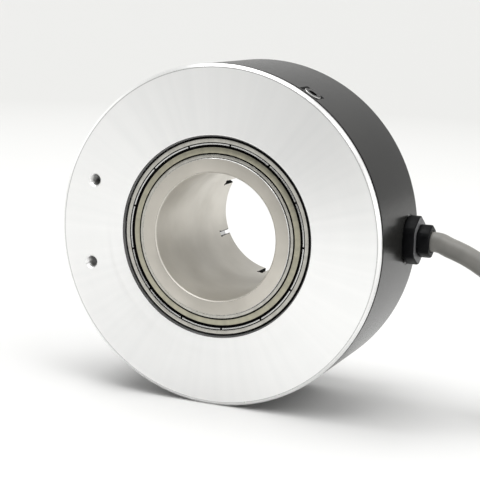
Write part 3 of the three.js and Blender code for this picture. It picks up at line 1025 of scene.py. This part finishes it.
def make_hollow_shaft():
    bore_chamfer = 0.35
    corners = [
        (BORE_R + bore_chamfer, 0, 0.04),
        (COLLAR_R - 0.15, 0, 0.03),
        (COLLAR_R, 0.15, 0.03),
        (COLLAR_R, 0.4, 0.05),
        (SHAFT_R, 0.4, 0.05),
        (SHAFT_R, 21.35, 0.03),
        (21.6, 21.35, 0.05),
        (21.6, 22.65, 0.05),
        (SHAFT_R, 22.65, 0.03),
        (SHAFT_R, CLAMP_SEAT_FRONT - 0.6, 0.1),
        (SHAFT_R - 0.6, CLAMP_SEAT_FRONT, 0.1),
        (CLAMP_SEAT_R, CLAMP_SEAT_FRONT, 0.1),
        (CLAMP_SEAT_R, SHAFT_REAR, 0.2),
        (BORE_R, SHAFT_REAR, 0.15),
        *((BORE_R, depth, 0) for depth in (SLOT_FRONT - 0.9, SLOT_FRONT - 2, 30, 15, 1)),
        (BORE_R, bore_chamfer, 0.04),
    ]
    shaft = build("hollow_shaft_turned", lathe(rounded(corners, 3)), coaxial())
    corner_r = 0.5
    tools = []
    for degrees in SLOT_ANGLES:
        place = outward(degrees, SLOT_FRONT)
        tools.append((box_of((20, 10, SLOT_WIDTH), (10, BORE_R + 2, 0)), place))
        tools.append((box_of((20, 2, SLOT_WIDTH + 0.4), (10.2, BORE_R - 0.85, 0)), place))
        for side in (-1, 1):
            corner = place @ Matrix.Translation((0.05, 0, side * SLOT_WIDTH / 2))
            tools.append((rod(corner_r, BORE_R - 2, SHAFT_R + 2, 16), corner))
    stand_for(cut(shaft, tools), "hollow_shaft")
    paint(shaft, "honed_bore", coaxial(), lambda radius, depth: (
        radius < BORE_R + bore_chamfer - 0.05 and depth < SHAFT_REAR - 0.1
    ))
    # Painted shade on the slot walls, in a thin line at the bore's edge and on the collar's side.
    paint(shaft, "painted_recess_shade", coaxial(), lambda radius, depth: (
        (BORE_R + 0.04 < radius < CLAMP_SEAT_R - 0.04 and SLOT_FRONT - 0.6 < depth < SHAFT_REAR - 0.1)
        or (BORE_R + bore_chamfer - 0.08 < radius < BORE_R + bore_chamfer + 0.05 and depth < 0.1)
        or (radius > COLLAR_R - 0.02 and depth > 0.14)
    ))
    # A painted highlight on the collar's chamfer.
    paint(shaft, "painted_edge_highlight", coaxial(), lambda radius, depth: (
        radius > COLLAR_R - 0.17 and depth <= 0.14
    ))


def make_retaining_ring():
    front, back = depths_of("shaft_retaining_ring")
    body = build("retaining_ring", sleeve(21.9, 24.6, front, back, 0.1, 128), coaxial())
    opening = box_of(size=(6, 4, 6), centre=(0, 22, -23))
    stand_for(cut(body, [(opening, coaxial())]), "shaft_retaining_ring")


def make_clamp_ring():
    front, back = depths_of("clamp_ring")
    outer = radius_of("clamp_ring")
    inner = CLAMP_SEAT_R + 0.08
    middle = (front + back) / 2
    corners = [
        (inner, front, 0.4),
        (outer - 0.6, front, 0.2),
        (outer, front + 0.6, 0.2),
        (outer, back - 0.6, 0.2),
        (outer - 0.6, back, 0.2),
        (inner, back, 0.4),
    ]
    ring = build("clamp_ring_turned", lathe(rounded(corners, 3)), coaxial())
    across = outward(CLAMP_ANGLE, middle) @ Matrix.Translation((0, CLAMP_SCREW_R, 0))
    screw_place = across @ Matrix.Rotation(math.pi / 2, 4, "X")
    slit = box_of(size=(20, 14, 2), centre=(0, 0, 0))
    seat = rod(3.7, 6, 20, 48)
    hole = rod(2.2, -11, 7, 32)
    stand_for(cut(ring, [(slit, across), (seat, screw_place), (hole, screw_place)]), "clamp_ring")
    screw = socket_screw(
        "clamp_screw", screw_place, shank_r=2.0, head_r=3.4, levels=(-10, 6.3, 10.3),
        socket_flats=3.0, socket_depth=2.2,
    )
    stand_for(screw, "clamp_ring_screw")


# Gland -----------------------------------------------------------------------------------------

def trimmed_hexagon(across_flats, corner_r, steps=6):
    """A hexagon whose points are turned back to a circle."""
    half = across_flats / 2
    spread = math.acos(half / corner_r)
    outline = []
    for side in range(6):
        middle = side * math.pi / 3
        start = middle + spread
        end = middle + math.pi / 3 - spread
        for step in range(steps + 1):
            angle = start + (end - start) * step / steps
            outline.append((corner_r * math.cos(angle), corner_r * math.sin(angle)))
    return outline


def make_gland():
    place = outward(GLAND_ANGLE, GLAND_DEPTH)
    nut_foot, nut_face, cap_face = 49.6, 53.2, 57
    mouth_r = 3.3
    seal_seat = stepped_rod(40, mouth_r, 50.5, 4.2, 60)
    cap_seat = stepped_rod(50, 3.9, 56, mouth_r, 60)
    body = build("gland_nut", prism(trimmed_hexagon(13.4, 7.2), nut_foot, nut_face), place)
    soften(body, 0.35, segments=3, degrees=30)
    settle(body)
    neck = lathe(rounded([(0, 44, 0), (4.9, 44, 0.3), (4.9, 50, 0), (0, 50, 0)], 3), 64, closed=False)
    cut(body, [(neck, place)], "UNION")
    cut(body, [(seal_seat, place)])
    stand_for(body, "gland_body")
    # Painted light: the nut's end face is a lighter grey, as if it caught the light.
    paint(body, "painted_gland_face_light", place, lambda radius, height: height > nut_face - 0.01)
    cap = build("gland_cap_nut", prism(trimmed_hexagon(9, 4.85), nut_face, cap_face), place)
    soften(cap, 0.45, segments=3, degrees=30)
    settle(cap)
    cut(cap, [(cap_seat, place)])
    stand_for(cap, "gland_cap")
    seal = lathe(rounded([(3.05, 50.8, 0.1), (3.6, 50.8, 0.1), (3.6, 55.9, 0.1), (3.05, 55.9, 0.1)], 2), 48)
    stand_for(build("gland_seal_ring", seal, place), "gland_seal")
    sheath = lathe(rounded([(0, 41, 0), (3, 41, 0.2), (3, 56.9, 0), (0, 56.9, 0)], 3), 48, closed=False)
    stand_for(build("cable_inside_gland", sheath, place), "cable_in_gland")


# Inside ----------------------------------------------------------------------------------------

def dress_inner_nodes():
    """The inner pieces keep their CAD shape, with softened edges and their slot's finish."""
    shown = {node: piece for node, piece in frame["nodes"].items() if not piece.hide_render}
    for node, piece in shown.items():
        piece.data.materials.clear()
        piece.data.materials.append(FINISHES[SLOT_OF[node]].material)
        piece.modifiers.new("joined_faces", "WELD").merge_threshold = 0.001 * MM
        soften(piece, 0.08, segments=2, degrees=50)


# Studio ----------------------------------------------------------------------------------------

def direction(azimuth, elevation):
    """The unit vector that far round from the object's front, towards +X, and that far up."""
    across, up = math.radians(azimuth), math.radians(elevation)
    return Vector((
        math.sin(across) * math.cos(up),
        -math.cos(across) * math.cos(up),
        math.sin(up),
    ))


def make_floor():
    half_size = 60
    body = bmesh.new()
    bmesh.ops.create_grid(body, x_segments=1, y_segments=1, size=half_size / MM)
    floor = build("floor", body, Matrix.Translation((0, 0, FLOOR)) @ Matrix.Scale(MM, 4))
    look = Finish("pale_floor", (0.92, 0.92, 0.915), 0.0, 0.6)
    look.set("Specular IOR Level", 0.2)
    # Painted light and shade: the floor's colour darkens away from the object, standing in for light that
    # fades with distance.
    look.tint(look.vector("LENGTH", look.position()), (0.70, 0.70, 0.69), 0.15, 1.0)
    floor.data.materials.append(look.material)


def make_world():
    """Bright above and at both sides, greyer towards the horizon, and dark where one stands to look."""
    world = bpy.data.worlds.new("studio")
    world.use_nodes = True
    tree = world.node_tree

    def node(kind, **values):
        made = tree.nodes.new(kind)
        for key, value in values.items():
            setattr(made, key, value)
        return made

    def mapped(value, limits, results):
        made = node("ShaderNodeMapRange", interpolation_type="SMOOTHSTEP")
        tree.links.new(value, made.inputs["Value"])
        made.inputs["From Min"].default_value, made.inputs["From Max"].default_value = limits
        made.inputs["To Min"].default_value, made.inputs["To Max"].default_value = results
        return made.outputs["Result"]

    def product(first, second):
        made = node("ShaderNodeMath", operation="MULTIPLY")
        tree.links.new(first, made.inputs[0])
        tree.links.new(second, made.inputs[1])
        return made.outputs[0]

    def towards(way):
        made = node("ShaderNodeVectorMath", operation="DOT_PRODUCT")
        tree.links.new(where, made.inputs[0])
        made.inputs[1].default_value = way
        return made.outputs["Value"]

    where = node("ShaderNodeTexCoord").outputs["Generated"]
    height = towards((0, 0, 1))
    walls = product(
        mapped(towards((1, 0, 0)), (-0.4, 0.45), (LEFT_WALL, RIGHT_WALL)),
        mapped(towards(direction(-160, 14)), (0.55, 0.95), (1, 1.35)),
    )
    sides = product(
        mapped(towards((1, 0, 0)), (0.5, 0.85), (1, 5.5)),
        mapped(towards((-1, 0, 0)), (0.55, 0.9), (1, 2.6)),
    )
    room = mapped(height, (0.2, 0.75), (0, CEILING))
    tree.links.new(product(walls, sides), room.node.inputs["To Min"])
    viewer = mapped(
        towards(direction(20, 16)),
        (math.cos(math.radians(48)), math.cos(math.radians(12))),
        (1, 0.15),
    )
    background = tree.nodes["Background"]
    tree.links.new(product(room, viewer), background.inputs["Strength"])
    background.inputs["Color"].default_value = (1.0, 1.0, 0.99, 1)
    bpy.context.scene.world = world


def make_sun(name, azimuth, elevation, strength, spread):
    light = bpy.data.lights.new(name, "SUN")
    light.energy = strength
    light.angle = math.radians(spread)
    lamp = bpy.data.objects.new(name, light)
    lamp.rotation_euler = direction(azimuth, elevation).to_track_quat("Z", "Y").to_euler()
    bpy.context.scene.collection.objects.link(lamp)


def make_studio():
    make_floor()
    make_world()
    make_sun("key", azimuth=-112, elevation=70, strength=0.7, spread=26)
    make_sun("front_softbox", azimuth=12, elevation=76, strength=0.5, spread=34)
    make_sun("left_softbox", azimuth=-72, elevation=61, strength=0.12, spread=12)
    make_sun("right_softbox", azimuth=55, elevation=46, strength=0.3, spread=24)
    bpy.context.scene.view_settings.view_transform = "Standard"


make_camera()
cable, cable_exit, cable_wires = make_cable()
make_front_flange()
make_housing()
make_housing_screws()
make_casing_seals()
make_bearing("front_bearing")
make_bearing("rear_bearing")
make_spacers()
make_hollow_shaft()
make_retaining_ring()
make_clamp_ring()
make_gland()
dress_inner_nodes()
make_studio()
